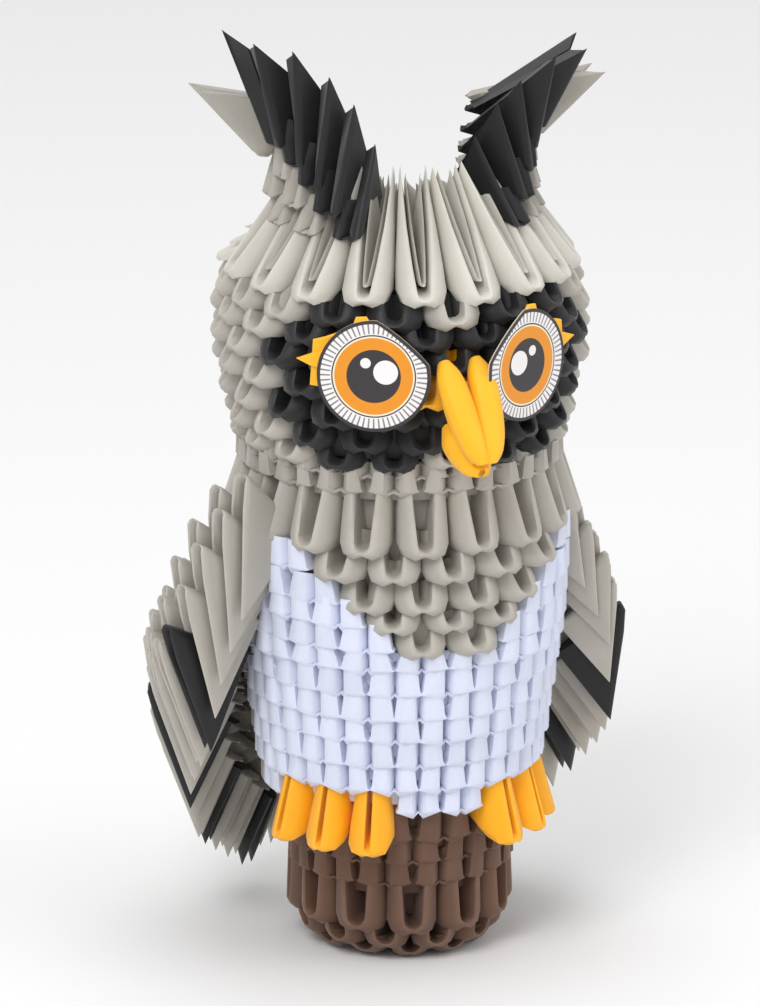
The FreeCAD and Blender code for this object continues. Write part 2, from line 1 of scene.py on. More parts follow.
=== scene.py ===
import json
import math
import bmesh
import bpy
import numpy as np
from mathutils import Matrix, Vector

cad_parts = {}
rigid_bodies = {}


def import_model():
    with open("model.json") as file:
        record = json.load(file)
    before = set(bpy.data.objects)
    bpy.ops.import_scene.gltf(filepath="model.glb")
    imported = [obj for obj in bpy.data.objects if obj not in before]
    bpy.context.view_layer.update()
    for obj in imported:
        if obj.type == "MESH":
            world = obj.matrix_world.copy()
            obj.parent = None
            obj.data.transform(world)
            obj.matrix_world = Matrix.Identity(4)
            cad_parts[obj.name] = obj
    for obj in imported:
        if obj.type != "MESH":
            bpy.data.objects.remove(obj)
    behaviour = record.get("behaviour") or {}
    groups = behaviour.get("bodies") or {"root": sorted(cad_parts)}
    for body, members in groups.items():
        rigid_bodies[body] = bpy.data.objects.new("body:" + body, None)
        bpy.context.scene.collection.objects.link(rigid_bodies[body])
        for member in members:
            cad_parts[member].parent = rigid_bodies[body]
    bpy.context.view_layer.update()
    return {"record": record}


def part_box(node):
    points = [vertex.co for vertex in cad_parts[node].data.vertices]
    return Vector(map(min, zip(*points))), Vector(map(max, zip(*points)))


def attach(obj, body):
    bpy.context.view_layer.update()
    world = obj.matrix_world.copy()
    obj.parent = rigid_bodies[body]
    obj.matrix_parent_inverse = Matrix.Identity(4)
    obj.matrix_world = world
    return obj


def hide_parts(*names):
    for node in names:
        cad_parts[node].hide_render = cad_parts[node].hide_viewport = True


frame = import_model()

# A standing owl of folded paper triangles. Lengths are in millimetres until a mesh
# is made; angles run round the axis from the owl's front, positive to its left.
mm = 0.001
rng = np.random.default_rng(7)


def addSocket(tree, name, way, kind, value=None):
    socket = tree.interface.new_socket(name=name, in_out=way, socket_type=kind)
    if value is not None:
        socket.default_value = value
    return socket


def wire(tree, *pairs):
    for start, end in pairs:
        tree.links.new(start, end)


def mathNode(tree, operation, first, second):
    node = tree.nodes.new("ShaderNodeMath")
    node.operation = operation
    for socket, value in zip(node.inputs, (first, second)):
        if isinstance(value, (int, float)):
            socket.default_value = value
        else:
            tree.links.new(value, socket)
    return node.outputs[0]


def mixColours(tree, share, first, second, blend="MIX"):
    node = tree.nodes.new("ShaderNodeMix")
    node.data_type = "RGBA"
    node.blend_type = blend
    for socket, value in zip((node.inputs[0], node.inputs[6], node.inputs[7]), (share, first, second)):
        if hasattr(value, "is_linked"):
            tree.links.new(value, socket)
        else:
            socket.default_value = value
    return node.outputs[2]


# Thin dyed paper: fine fibres, faint clouds, and creases where the dye is rubbed.
def buildPaperGroup():
    tree = bpy.data.node_groups.new("foldedPaper", "ShaderNodeTree")
    addSocket(tree, "Colour", "INPUT", "NodeSocketColor", (0.5, 0.5, 0.5, 1))
    addSocket(tree, "Crease Colour", "INPUT", "NodeSocketColor", (0.7, 0.7, 0.7, 1))
    addSocket(tree, "Clouds", "INPUT", "NodeSocketFloat", 0.12)
    addSocket(tree, "Wear", "INPUT", "NodeSocketFloat", 0.6)
    addSocket(tree, "Roughness", "INPUT", "NodeSocketFloat", 0.6)
    addSocket(tree, "Colour", "OUTPUT", "NodeSocketColor")
    addSocket(tree, "Roughness", "OUTPUT", "NodeSocketFloat")
    addSocket(tree, "Height", "OUTPUT", "NodeSocketFloat")
    inputs = tree.nodes.new("NodeGroupInput").outputs
    outputs = tree.nodes.new("NodeGroupOutput").inputs
    place = tree.nodes.new("ShaderNodeTexCoord").outputs["Object"]
    fibres = tree.nodes.new("ShaderNodeTexNoise")
    fibres.inputs["Scale"].default_value = 1400
    fibres.inputs["Detail"].default_value = 3
    clouds = tree.nodes.new("ShaderNodeTexNoise")
    clouds.inputs["Scale"].default_value = 120
    clouds.inputs["Detail"].default_value = 4
    crease = tree.nodes.new("ShaderNodeAttribute")
    crease.attribute_name = "crease"
    tone = tree.nodes.new("ShaderNodeAttribute")
    tone.attribute_name = "tone"
    wire(tree, (place, fibres.inputs["Vector"]), (place, clouds.inputs["Vector"]))
    speck = mathNode(tree, "MULTIPLY", mathNode(tree, "SUBTRACT", fibres.outputs[0], 0.5), 0.10)
    cloud = mathNode(tree, "MULTIPLY", mathNode(tree, "SUBTRACT", clouds.outputs[0], 0.5), inputs["Clouds"])
    # tone is each piece's random paper tone; on the inner flaps it is held low, which paints them darker as
    # shade.
    piece = mathNode(tree, "SUBTRACT", tone.outputs["Fac"], 0.5)
    shade = mathNode(tree, "ADD", speck, cloud)
    shade = mathNode(tree, "ADD", shade, mathNode(tree, "MULTIPLY", piece, 0.12))
    light = mathNode(tree, "ADD", shade, 1.0)
    tint = tree.nodes.new("ShaderNodeVectorMath")
    tint.operation = "SCALE"
    wire(tree, (inputs["Colour"], tint.inputs[0]), (light, tint.inputs["Scale"]))
    rub = mathNode(tree, "MULTIPLY", crease.outputs["Fac"],
                   mathNode(tree, "MULTIPLY", inputs["Wear"], mathNode(tree, "ADD", clouds.outputs[0], 0.3)))
    worn = mixColours(tree, rub, tint.outputs[0], inputs["Crease Colour"])
    rough = mathNode(tree, "ADD", inputs["Roughness"], mathNode(tree, "MULTIPLY", speck, 1.5))
    wire(tree, (worn, outputs["Colour"]), (rough, outputs["Roughness"]),
         (fibres.outputs[0], outputs["Height"]))
    return tree


paperGroup = buildPaperGroup()


# Screen colour, 0 to 255, to linear light.
def linear(red, green, blue):
    values = np.array([red, green, blue]) / 255
    return (*np.where(values < 0.04045, values / 12.92, ((values + 0.055) / 1.055) ** 2.4), 1)


paperFinishes = {
    "brown_paper": dict(colour=linear(100, 72, 57), crease=linear(136, 106, 88), wear=0.5, rough=0.62),
    "orange_paper": dict(colour=linear(250, 172, 12), crease=linear(255, 200, 66), wear=0.4, rough=0.5),
    "yellow_paper": dict(colour=linear(253, 184, 20), crease=linear(255, 206, 80), wear=0.4, rough=0.5),
    "white_paper": dict(colour=linear(214, 219, 238), crease=linear(240, 242, 252), wear=0.5, rough=0.6),
    "grey_paper": dict(colour=linear(172, 167, 158), crease=linear(205, 201, 192), wear=0.6, rough=0.55),
    "pale_grey_paper": dict(colour=linear(196, 192, 182), crease=linear(222, 219, 211), wear=0.6, rough=0.55),
    "black_paper": dict(colour=linear(22, 22, 24), crease=linear(60, 61, 64), wear=0.5, rough=0.5),
}


def paperMaterial(name, finish):
    material = bpy.data.materials.new(name)
    material.use_nodes = True
    tree = material.node_tree
    shader = tree.nodes["Principled BSDF"]
    paper = tree.nodes.new("ShaderNodeGroup")
    paper.node_tree = paperGroup
    paper.inputs["Colour"].default_value = finish["colour"]
    paper.inputs["Crease Colour"].default_value = finish["crease"]
    paper.inputs["Wear"].default_value = finish["wear"]
    paper.inputs["Roughness"].default_value = finish["rough"]
    bump = tree.nodes.new("ShaderNodeBump")
    bump.inputs["Strength"].default_value = 0.12
    bump.inputs["Distance"].default_value = 0.0002
    shader.inputs["Specular IOR Level"].default_value = 0.35
    shader.inputs["Sheen Weight"].default_value = 0.12
    shader.inputs["Sheen Roughness"].default_value = 0.5
    wire(tree, (paper.outputs["Colour"], shader.inputs["Base Color"]),
         (paper.outputs["Roughness"], shader.inputs["Roughness"]),
         (paper.outputs["Height"], bump.inputs["Height"]), (bump.outputs[0], shader.inputs["Normal"]))
    return material


papers = {name: paperMaterial(name, finish) for name, finish in paperFinishes.items()}
print("materials ready")


# Quads of a grid whose columns close into a loop; the two ends are capped by the caller.
def gridFaces(rows, columns):
    row, column = np.meshgrid(np.arange(rows - 1), np.arange(columns), indexing="ij")
    after = (column + 1) % columns
    quads = np.stack([row * columns + column, row * columns + after,
                      (row + 1) * columns + after, (row + 1) * columns + column], -1)
    return quads.reshape(-1, 4)


# Puts a piece in the scene, on the one body, in place of its CAD node.
def standFor(mesh, node):
    piece = bpy.data.objects.new(mesh.name, mesh)
    bpy.context.scene.collection.objects.link(piece)
    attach(piece, "root")
    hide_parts(node)


# A mesh from millimetre points, standing for one CAD node.
def makePiece(name, points, faceSets, material, attributes, node):
    mesh = bpy.data.meshes.new(name)
    mesh.from_pydata((points * mm).tolist(), [], [face.tolist() for faces in faceSets for face in faces])
    for label, values in attributes.items():
        layer = mesh.attributes.new(label, "FLOAT", "POINT")
        layer.data.foreach_set("value", np.asarray(values, dtype=np.float32))
    mesh.polygons.foreach_set("use_smooth", np.ones(len(mesh.polygons), dtype=bool))
    mesh.set_sharp_from_angle(angle=math.radians(48))
    mesh.materials.append(material)
    mesh.update()
    standFor(mesh, node)


# Sections run from the rim inwards on the outside of a wing and back on its inside:
# share of the way to the third corner, and share of the wing's full bulge.
sections = {
    "long": dict(inward=np.array([0.0, 0.03, 0.10, 0.24, 0.55, 1.0, 1.0, 0.5, 0.12, 0.015]),
                 bulge=np.array([0.10, 0.42, 0.80, 1.0, 0.94, 0.9, 0.0, 0.0, 0.0, 0.0]),
                 spread=np.array([1, 1, 1, 1, 1, 0.9, 0.1, 0.35, 0.95, 1]),
                 crease=np.array([1.0, 0.15, 0, 0, 0, 0, 0, 0, 0, 0.9])),
    "short": dict(inward=np.array([0.0, 0.004, 0.03, 0.12, 0.5, 1.0, 1.0, 0.5, 0.14, 0.03]),
                  bulge=np.array([0.22, 0.70, 0.95, 1.0, 1.0, 1.0, 0.0, 0.0, 0.0, 0.06]),
                  spread=np.array([1, 1, 1, 1, 1, 1, 0.0, 0.0, 0.1, 1]),
                  crease=np.array([0.3, 0.1, 0, 0, 0, 0, 0, 0, 0, 0.5])),
    "flat": dict(inward=np.array([0.0, 0.02, 0.08, 0.20, 0.60, 1.0, 1.0, 0.5, 0.12, 0.015]),
                 bulge=np.array([0.14, 0.34, 0.44, 0.48, 0.42, 0.30, 0.0, 0.0, 0.0, 0.0]),
                 spread=np.array([1, 1, 1, 1, 1, 1, 0.4, 0.7, 1, 1]),
                 crease=np.array([1.0, 0.25, 0, 0, 0, 0, 0, 0, 0, 0.9])),
}


# Half a path along the rim from the fold to a wing's tip.
# along = distance from the fold corner, turn = direction of the wall (0 down the
# rim, 90 degrees sideways), side = half the gap between the wings.
def trianglePath(kind, length, gap):
    if kind != "short":
        turn = np.radians([0, 30, 60, 85, 90, 90, 90])
        along = gap * (1 - np.cos(turn)) + (length - gap) * np.array([0, 0, 0, 0.02, 0.22, 0.55, 1.0])
        side = gap * np.sin(turn)
    else:
        turn = np.radians([0, 20, 90, 90, 90, 90])
        along = length * np.array([0.0, 0.004, 0.006, 0.10, 0.5, 1.0])
        side = gap * np.array([0, 0.85, 1, 1, 1, 1])
    return turn, along, side


# One folded triangle as a grid: sideways offset, radius, height, crease.
# Rim point E(s) = corner + s (tip - corner); a section point lies at
# E + inward (centre - E), pushed by its bulge along the wall's direction.
def triangleGrid(kind, corner, tip, centre, gap, bulge, lip, cut=1.0, taper=0.35, cutBack=None, splay=0.0,
                 blunt=0.0):
    corner, tip, centre = (np.array(point, float) for point in (corner, tip, centre))
    whole = np.linalg.norm(tip - corner)
    rim = (tip - corner) / whole
    length = whole * cut
    turn, along, side = trianglePath(kind, length, gap)
    backShare = 1.0 if cutBack is None else cutBack / cut
    turn = np.concatenate([-turn[:0:-1], turn])
    along = np.concatenate([along[:0:-1] * backShare, along])
    side = np.concatenate([-side[:0:-1], side])
    section = sections[kind]
    share = along / length
    side = side + np.sign(turn) * splay * np.clip(share * cut, 0, 1)
    fade = 1 - (1 - taper) * np.clip(share, 0, 1) ** 1.3
    if kind == "short":
        fade = fade * (1 + 0.10 * np.exp(-(share / 0.05) ** 2))
    wall = lip + (bulge * fade - lip) * np.sin(np.abs(turn))
    push = wall[:, None] * section["bulge"][None, :]
    offset = side[:, None] * section["spread"][None, :] + push * np.sin(turn)[:, None]
    step = along[:, None] - push * np.cos(turn)[:, None]
    edge = corner + rim * step[..., None]
    flat = corner + rim * along[:, None, None]
    place = edge + section["inward"][None, :, None] * (centre - flat)
    inwards = (centre - corner) / np.linalg.norm(centre - corner)
    place = place + blunt * (1 - np.clip(along / (0.16 * whole), 0, 1))[:, None, None] ** 2 * inwards
    crease = np.broadcast_to(section["crease"], offset.shape)
    if kind == "short":
        setBack = 1.7 * np.cos(turn) ** 2
        place = place - np.array([1.0, 0.0]) * setBack[:, None, None]
    return offset, place[..., 0], place[..., 1], crease


# How unevenly the triangles were folded and set, as spreads: angle (radians), width
# (share), radius and height (millimetres) and paper tone (share).
handwork = dict(turn=0.004, width=0.03, out=0.18, up=0.16, tone=0.22)


# Copies of one grid round the axis. A sideways offset x becomes the angle x / nominal.
def placeTriangles(grid, angles, nominal, mirror=1, jitter=1.0):
    offset, radius, height, crease = grid
    count = len(angles)
    wobble = (rng.normal(size=(count, 5)) * jitter)[:, :, None, None]
    turn = np.radians(np.array(angles, float))[:, None, None] + wobble[:, 0] * handwork["turn"]
    width = 1 + handwork["width"] * wobble[:, 1]
    out = radius + handwork["out"] * wobble[:, 2]
    up = height + handwork["up"] * wobble[:, 3]
    angle = turn + mirror * offset * width / nominal
    points = np.stack([out * np.sin(angle), -out * np.cos(angle), np.broadcast_to(up, angle.shape)], -1)
    tone = np.broadcast_to(np.clip(0.5 + handwork["tone"] * wobble[:, 4], 0, 1), angle.shape)
    rows, columns = offset.shape
    quads = gridFaces(rows, columns)
    if mirror < 0:
        quads = quads[:, ::-1]
    ends = np.stack([np.arange(columns)[::-1], (rows - 1) * columns + np.arange(columns)])
    if mirror < 0:
        ends = ends[:, ::-1]
    base = np.arange(count)[:, None, None] * rows * columns
    return (points.reshape(-1, 3), (quads[None] + base).reshape(-1, 4),
            (ends[None] + base).reshape(-1, columns),
            np.broadcast_to(crease, angle.shape).reshape(-1), tone.reshape(-1))


# Several placed groups of triangles as one set of arrays.
def joinParts(parts):
    points, quads, ends, creases, tones = [], [], [], [], []
    start = 0
    for part in parts:
        points.append(part[0])
        quads.append(part[1] + start)
        ends.append(part[2] + start)
        creases.append(part[3])
        tones.append(part[4])
        start += len(part[0])
    return (np.concatenate(points), np.concatenate(quads), np.concatenate(ends),
            np.concatenate(creases), np.concatenate(tones))


# The inner flaps' tone of 0.35 is below the paper's mean of 0.5, so they come out a little darker: painted
# shade in the hollows between the lips.
flap = dict(around=10, halfThick=0.45, power=0.4, degrees=5, tone=0.35)
# Where each ring's strip stands: how far inside the ring's radius, and its bottom and top
# over the ring's lowest point.
flapPlaces = {
    "base": (5, -4, 9), "baseLong": (9, 3, 9), "belly": (4, 1.5, 9), "bellyTop": (4, 1.5, 4),
    "chest": (11, 3, 11), "bib": (6.5, 0.5, 9), "collar": (11, 3, 11), "neck_one": (5, -3, 5),
    "neck_two": (5, -3, 3), "mask": (11, 3, 9), "maskLow": (4, 1, 9), "hood": (11, 3, 9),
}


# Inner flaps seen in shade between the lips: a thin upright strip round part of a ring,
# whose section is x = t cos a, z = h sign(sin a) |sin a| ^ power.
def flapPart(name, ringLow, ringRadius, start, end):
    inside, bottom, top = flapPlaces[name]
    radius, low, high = ringRadius - inside, ringLow + bottom, ringLow + top
    around = flap["around"]
    rows = max(int((end - start) / flap["degrees"]), 3)
    angle = np.radians(np.linspace(start, end, rows))[:, None]
    turn = np.arange(around) * 2 * math.pi / around
    out = radius + flap["halfThick"] * np.cos(turn)
    up = (low + high) / 2 + (high - low) / 2 * np.sign(np.sin(turn)) * np.abs(np.sin(turn)) ** flap["power"]
    points = np.stack([out * np.sin(angle), -out * np.cos(angle), up + 0 * angle], -1).reshape(-1, 3)
    quads = gridFaces(rows, around)[:, ::-1]
    ends = np.stack([np.arange(around), ((rows - 1) * around + np.arange(around))[::-1]])
    # The low flap tone paints these strips slightly darker, as painted shade.
    return points, quads, ends, np.zeros(len(points)), np.full(len(points), flap["tone"])


slotOf = {row["node"]: row["material_slot"] for row in frame["record"]["subparts"]}


def paperPiece(node, parts):
    points, quads, ends, crease, tone = joinParts(parts)
    slot = slotOf[node]
    makePiece(node + "_paper", points, [quads, ends], papers[slot],
              {"crease": crease, "tone": tone}, node)


# The lowest point and the largest radius of a CAD node, in millimetres.
def cadShape(node):
    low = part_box(node)[0]
    mesh = bpy.data.objects[node].data
    points = np.zeros(len(mesh.vertices) * 3)
    mesh.vertices.foreach_get("co", points)
    points = points.reshape(-1, 3)
    return low[2] / mm, float(np.hypot(points[:, 0], points[:, 1]).max()) / mm


odd = list(range(-170, 180, 20))
even = list(range(-160, 190, 20))
leg = 25.5


def bothSides(*angles):
    return sorted({sign * angle for angle in angles for sign in (-1, 1)} - {-180})


# A ring's style: which side faces out, half gap, bulge as a share of the half pitch, the
# lip's thickness, the rim's lean inwards in degrees, how many millimetres of it show, the
# degrees from one triangle to the next and how far the wings spring apart at the tip.
ringStyles = {
    "base": dict(kind="short", gap=1.4, fill=0.90, lip=0.6, lean=0, show=9.5, pitch=30),
    "baseLong": dict(kind="long", gap=2.3, fill=1.03, lip=1.9, lean=4, show=17, pitch=30, splay=2.2),
    "belly": dict(kind="short", gap=0.8, fill=0.98, lip=0.5, lean=0, show=10, pitch=20),
    "chest": dict(kind="long", gap=1.9, fill=1.07, lip=2.0, lean=32, show=13, pitch=20, splay=5.0),
    "collar": dict(kind="long", gap=1.9, fill=0.98, lip=2.1, lean=18, show=19, pitch=20, splay=3.0),
    "neck": dict(kind="short", gap=1.6, fill=0.90, lip=0.6, lean=2, show=5.4, pitch=20),
    "face": dict(kind="long", gap=2.0, fill=1.06, lip=1.9, lean=30, show=14, pitch=20, splay=5.0),
}


# The triangles of one ring, or of one colour of it, at the ring's lip height.
def ringPart(styleName, height, radius, angles, **changes):
    style = dict(ringStyles[styleName], **changes)
    half = radius * math.radians(style["pitch"] / 2)
    bulge = half * style["fill"] - style["gap"]
    lean = math.radians(style["lean"])
    corner = (radius, height)
    tip = (radius - leg * 1.414 * math.sin(lean), height + leg * 1.414 * math.cos(lean))
    centre = (max(radius - leg, 9), height + 1.5)
    if style["kind"] == "short":
        tip = (radius - leg * math.sin(lean), height + leg * math.cos(lean))
        centre = (centre[0], height)
    cut = style["show"] / math.dist(corner, tip)
    grid = triangleGrid(style["kind"], corner, tip, centre, style["gap"], bulge, style["lip"], cut,
                        taper=0.75, splay=style.get("splay", 0))
    return placeTriangles(grid, angles, radius)


def buildBase():
    angles = [list(range(-11, 349, 30)), list(range(4, 364, 30))]
    names = ["base_one", "base_two", "base_three", "base_four", "base_five", "base_six"]
    for k, node in enumerate(names):
        low, radius = cadShape(node)
        style = "baseLong" if k < 3 else "base"
        changes = dict(show=5.5, lean=-30) if k == 0 else dict(show=7, lean=-15) if k == 1 else {}
        if k == 2:
            changes = dict(show=18.5, lean=2)
        lift = 2.1 if style == "baseLong" else 0  # its lip bulges below its corner
        paperPiece(node, [ringPart(style, low + lift, radius, angles[k % 2], **changes),
                          flapPart(style, low, radius, -180, 179)])


def buildBelly():
    backs = {"back_lower": [], "back_upper": []}
    for k, word in enumerate(("one", "two", "three", "four", "five", "six", "seven")):
        low, radius = cadShape("belly_" + word)
        ring = odd if k % 2 == 0 else even
        front = [angle for angle in ring if abs(angle) <= 100]
        if k == 0:
            front = bothSides(10, 90)  # the toes stand between
        back = [angle for angle in ring if abs(angle) > 100]
        show = 5.0 if k == 6 else 10
        paperPiece("belly_" + word, [ringPart("belly", low, radius, front, show=show),
                                     flapPart("bellyTop" if k == 6 else "belly", low, radius, -104, 104)])
        backs["back_lower" if k < 3 else "back_upper"] += [
            ringPart("belly", low, radius, back, show=show), flapPart("belly", low, radius, 105, 255)]
    for node, parts in backs.items():
        paperPiece(node, parts)


def buildChest():
    bibs = [bothSides(10), bothSides(0, 20), bothSides(10, 30), bothSides(0, 20, 40)]
    for k, word in enumerate(("one", "two", "three", "four")):
        low, radius = cadShape("chest_" + word)
        ring = odd if k % 2 == 0 else even
        white = [angle for angle in ring if angle not in bibs[k] and abs(angle) <= 100]
        grey = [angle for angle in ring if angle not in white]
        covered = [angle for angle in white if abs(angle) > 80]  # under the capes, grey like the back
        white = [angle for angle in white if abs(angle) <= 80]
        parts = [ringPart("chest", low, radius, grey),
                 ringPart("belly", low, radius - 1, covered, show=7.2),
                 flapPart("chest", low, radius, -180, 179)]
        if k == 0:
            parts.append(flapPart("bib", low, radius, -17.5, 17.5))
        paperPiece("chest_" + word, parts)
        paperPiece("shoulder_" + word, [ringPart("belly", low, radius - 1, white, show=7.2)])
    necks = (("collar", "collar", odd), ("neck_one", "neck", even), ("neck_two", "neck", odd))
    for node, style, ring in necks:
        low, radius = cadShape(node)
        changes = dict(show=3.4) if node == "neck_two" else {}
        paperPiece(node, [ringPart(style, low, radius, ring, **changes),
                          flapPart(node, low, radius, -180, 179)])


def buildFace():
    masks = [bothSides(20, 40), bothSides(10, 30, 50), bothSides(0, 20, 40, 60), bothSides(30, 50),
             bothSides(0, 20, 40, 60), bothSides(10, 30, 50), bothSides(20, 40)]
    for k, word in enumerate(("one", "two", "three", "four", "five", "six", "seven")):
        ring = even if k % 2 == 0 else odd
        low, radius = cadShape("hood_" + word)
        cheeks = bothSides(10) if word == "four" else []
        hood = [angle for angle in ring if angle not in masks[k] and angle not in cheeks]
        show = 7 if word == "seven" else ringStyles["face"]["show"]
        paperPiece("mask_" + word, [ringPart("face", low, radius, masks[k], show=show),
                                    flapPart("mask" if k else "maskLow", low, radius, -58, 58)])
        paperPiece("hood_" + word, [ringPart("face", low, radius, hood, show=show),
                                    flapPart("hood", low, radius, 60, 300)])
        if cheeks:
            paperPiece("cheeks", [ringPart("face", low - 1.5, radius + 1, cheeks)])


# Outer wings and a smaller pair of inner flaps; the tips at the back lean in further.
crown = dict(gap=1.5, lip=2.6, taper=0.16, splay=4.6, centre=(27, 2),
             inner=dict(setIn=3.4, lift=3.2, gap=0.35, bulge=1.1, lip=0.6, taper=0.4, splay=3.2,
                        tip=(0.5, 1.5), centre=(28, 3)),
             front=dict(back=22.0, up=28.6), back=dict(back=31.0, up=17.0))


def buildCrown():
    low, radius = cadShape("crown")
    bulge = radius * math.radians(10) * 0.96 - crown["gap"]
    flaps = crown["inner"]
    parts = []
    for tips, angles in ((crown["front"], [angle for angle in odd if abs(angle) <= 90]),
                         (crown["back"], [angle for angle in odd if abs(angle) > 90])):
        tip = (radius - tips["back"], low + tips["up"])
        centre = (radius - crown["centre"][0], low + crown["centre"][1])
        outer = triangleGrid("long", (radius, low), tip, centre, crown["gap"], bulge, crown["lip"],
                             taper=crown["taper"], splay=crown["splay"])
        centre = (radius - flaps["centre"][0], low + flaps["centre"][1])
        corner = (radius - flaps["setIn"], low + flaps["lift"])
        tip = (tip[0] - flaps["tip"][0], tip[1] - flaps["tip"][1])
        inner = triangleGrid("long", corner, tip, centre, flaps["gap"], flaps["bulge"], flaps["lip"],
                             taper=flaps["taper"], splay=flaps["splay"])
        parts += [placeTriangles(outer, angles, radius), placeTriangles(inner, angles, radius)]
    paperPiece("crown", parts)


toe = dict(reach=4.4, drop=9.2, length=36, lean=15, gap=0.7, bulge=5.3, lip=2.2, show=16)


# Three long orange lips on each side, hanging from the lowest belly ring.
def buildFeet():
    low, radius = cadShape("belly_one")
    lean = math.radians(toe["lean"])
    corner = (radius + toe["reach"], low - toe["drop"])
    tip = (corner[0] - toe["length"] * math.sin(lean), corner[1] + toe["length"] * math.cos(lean))
    grid = triangleGrid("long", corner, tip, (14, low + 3), toe["gap"], toe["bulge"], toe["lip"],
                        toe["show"] / toe["length"], taper=0.8)
    for node, sign in (("foot_left", -1), ("foot_right", 1)):
        paperPiece(node, [placeTriangles(grid, [sign * angle for angle in (30, 50, 70)], radius)])


# Ear rows: the lip, the free tip and the inner corner as a radius and a height over the
# crown's lowest point, how far the tips spring apart, and how much lower the right tip is.
earRows = {
    "one": dict(lip=(36.0, 12.9), tip=(23.5, 34.2), inner=(17, 19), splay=3.0, slump=0.0),
    "two": dict(lip=(35.0, 18.6), tip=(27.5, 44.9), inner=(16, 24), splay=3.4, slump=2.5),
    "three": dict(lip=(34.0, 24.2), tip=(31.5, 52.0), inner=(16, 29), splay=3.8, slump=4.5),
    "four": dict(lip=(34.0, 28.6), tip=(39.0, 59.2), inner=(16.5, 33.5), splay=4.6, slump=6.5),
    "five": dict(lip=(36.0, 32.5), tip=(46.0, 61.0), inner=(18, 38), splay=5.6, slump=7.5),
    "fourOut": dict(lip=(37.0, 28.6), tip=(53.0, 46.5), inner=(20, 40), splay=2.0, slump=3.0),
}
# Row, angle round, colour, and how much shows of the wing nearer the face and the other.
earTriangles = [
    ("one", 40, "black", 1, 0.4), ("one", 60, "grey", 0.4, 0.4), ("one", 80, "grey", 0.4, 0.4),
    ("two", 50, "black", 1, 0.4), ("two", 70, "grey", 0.4, 0.4), ("two", 90, "grey", 0.4, 0.4),
    ("three", 60, "black", 1, 0.4), ("three", 80, "grey", 0.4, 0.4),
    ("four", 70, "black", 1, 0.4), ("fourOut", 92, "grey", 1, 1),
    ("five", 80, "black", 1, 1),
]
earFold = dict(gap=1.5, bulge=2.6, wall=0.8, taper=0.16)


# Mirrored for the right ear. A wing that only holds the next row is cut short.
def buildEars():
    crownLow = cadShape("crown")[0]
    sides = {(side, colour): [] for side in (-1, 1) for colour in ("black", "grey")}
    for word, angle, colour, showFront, showBack in earTriangles:
        row = earRows[word]
        lip, tip, inner = ((row[key][0], crownLow + row[key][1]) for key in ("lip", "tip", "inner"))
        for side in (-1, 1):
            peak = (tip[0], tip[1] - (row["slump"] if side > 0 else 0))
            grid = triangleGrid("short", lip, peak, inner, earFold["gap"], earFold["bulge"], earFold["wall"],
                                showFront, taper=earFold["taper"], cutBack=showBack, splay=row["splay"])
            sides[(side, colour)].append(
                placeTriangles(grid, [side * angle], lip[0] + 3, mirror=-side, jitter=0.6))
    for (side, colour), parts in sides.items():
        paperPiece("ear_%s_%s" % ("left" if side < 0 else "right", colour), parts)


# Cape rows: row number, then the shoulder and the tip of its wings (radius, height).
capeStations = np.array([
    [1, 51.5, 131.4, 52.2, 92.9], [5, 61.8, 113.5, 54.7, 75.4], [9, 67.3, 91.3, 54.2, 56.5],
    [12, 65.3, 74.1, 53.2, 39.1], [15, 64.5, 52.2, 52.2, 21.3], [19, 63.5, 37.1, 53.0, 6.3]])
cape = dict(rows=19, edgeRow=9, blackEdges=(9, 13, 16, 19), frontTop=69, front=80, back=157.5, step=7,
            gap=1.9, bulge=3.6, lip=1.0, taper=0.3, blunt=2.4, hiddenShow=0.6)
# In the upper rows a triangle sits further in and lower, the further behind the front one
# it is: millimetres a degree and the most, all of it up to one row and none from another.
capeFall = dict(inward=0.15, inwardMost=4.0, down=1.0, downMost=24.0, fullRow=5, endRow=12)
# The right cape is pressed closer: how far its shoulders and tips sit in and down from
# the left one's (in, down), by row.
capeTuck = np.array([[1, 8.0, 12.5, 5.5, 0.5], [5, 9.0, 12.5, 2.0, -0.5], [9, 9.5, 5.0, 0.8, 2.0],
                     [12, 5.0, 1.0, 0.0, 0.0], [19, 3.0, 0.0, 0.0, 0.0]])


def capeAngles(row):
    if row <= cape["edgeRow"]:
        front = cape["frontTop"] + (cape["front"] - cape["frontTop"]) * (row - 1) / (cape["edgeRow"] - 1)
        front += cape["step"] * ((row + 1) % 2)
    else:
        front = cape["front"] + cape["step"] * (row - cape["edgeRow"])
    return list(np.arange(front, cape["back"], 2 * cape["step"]))


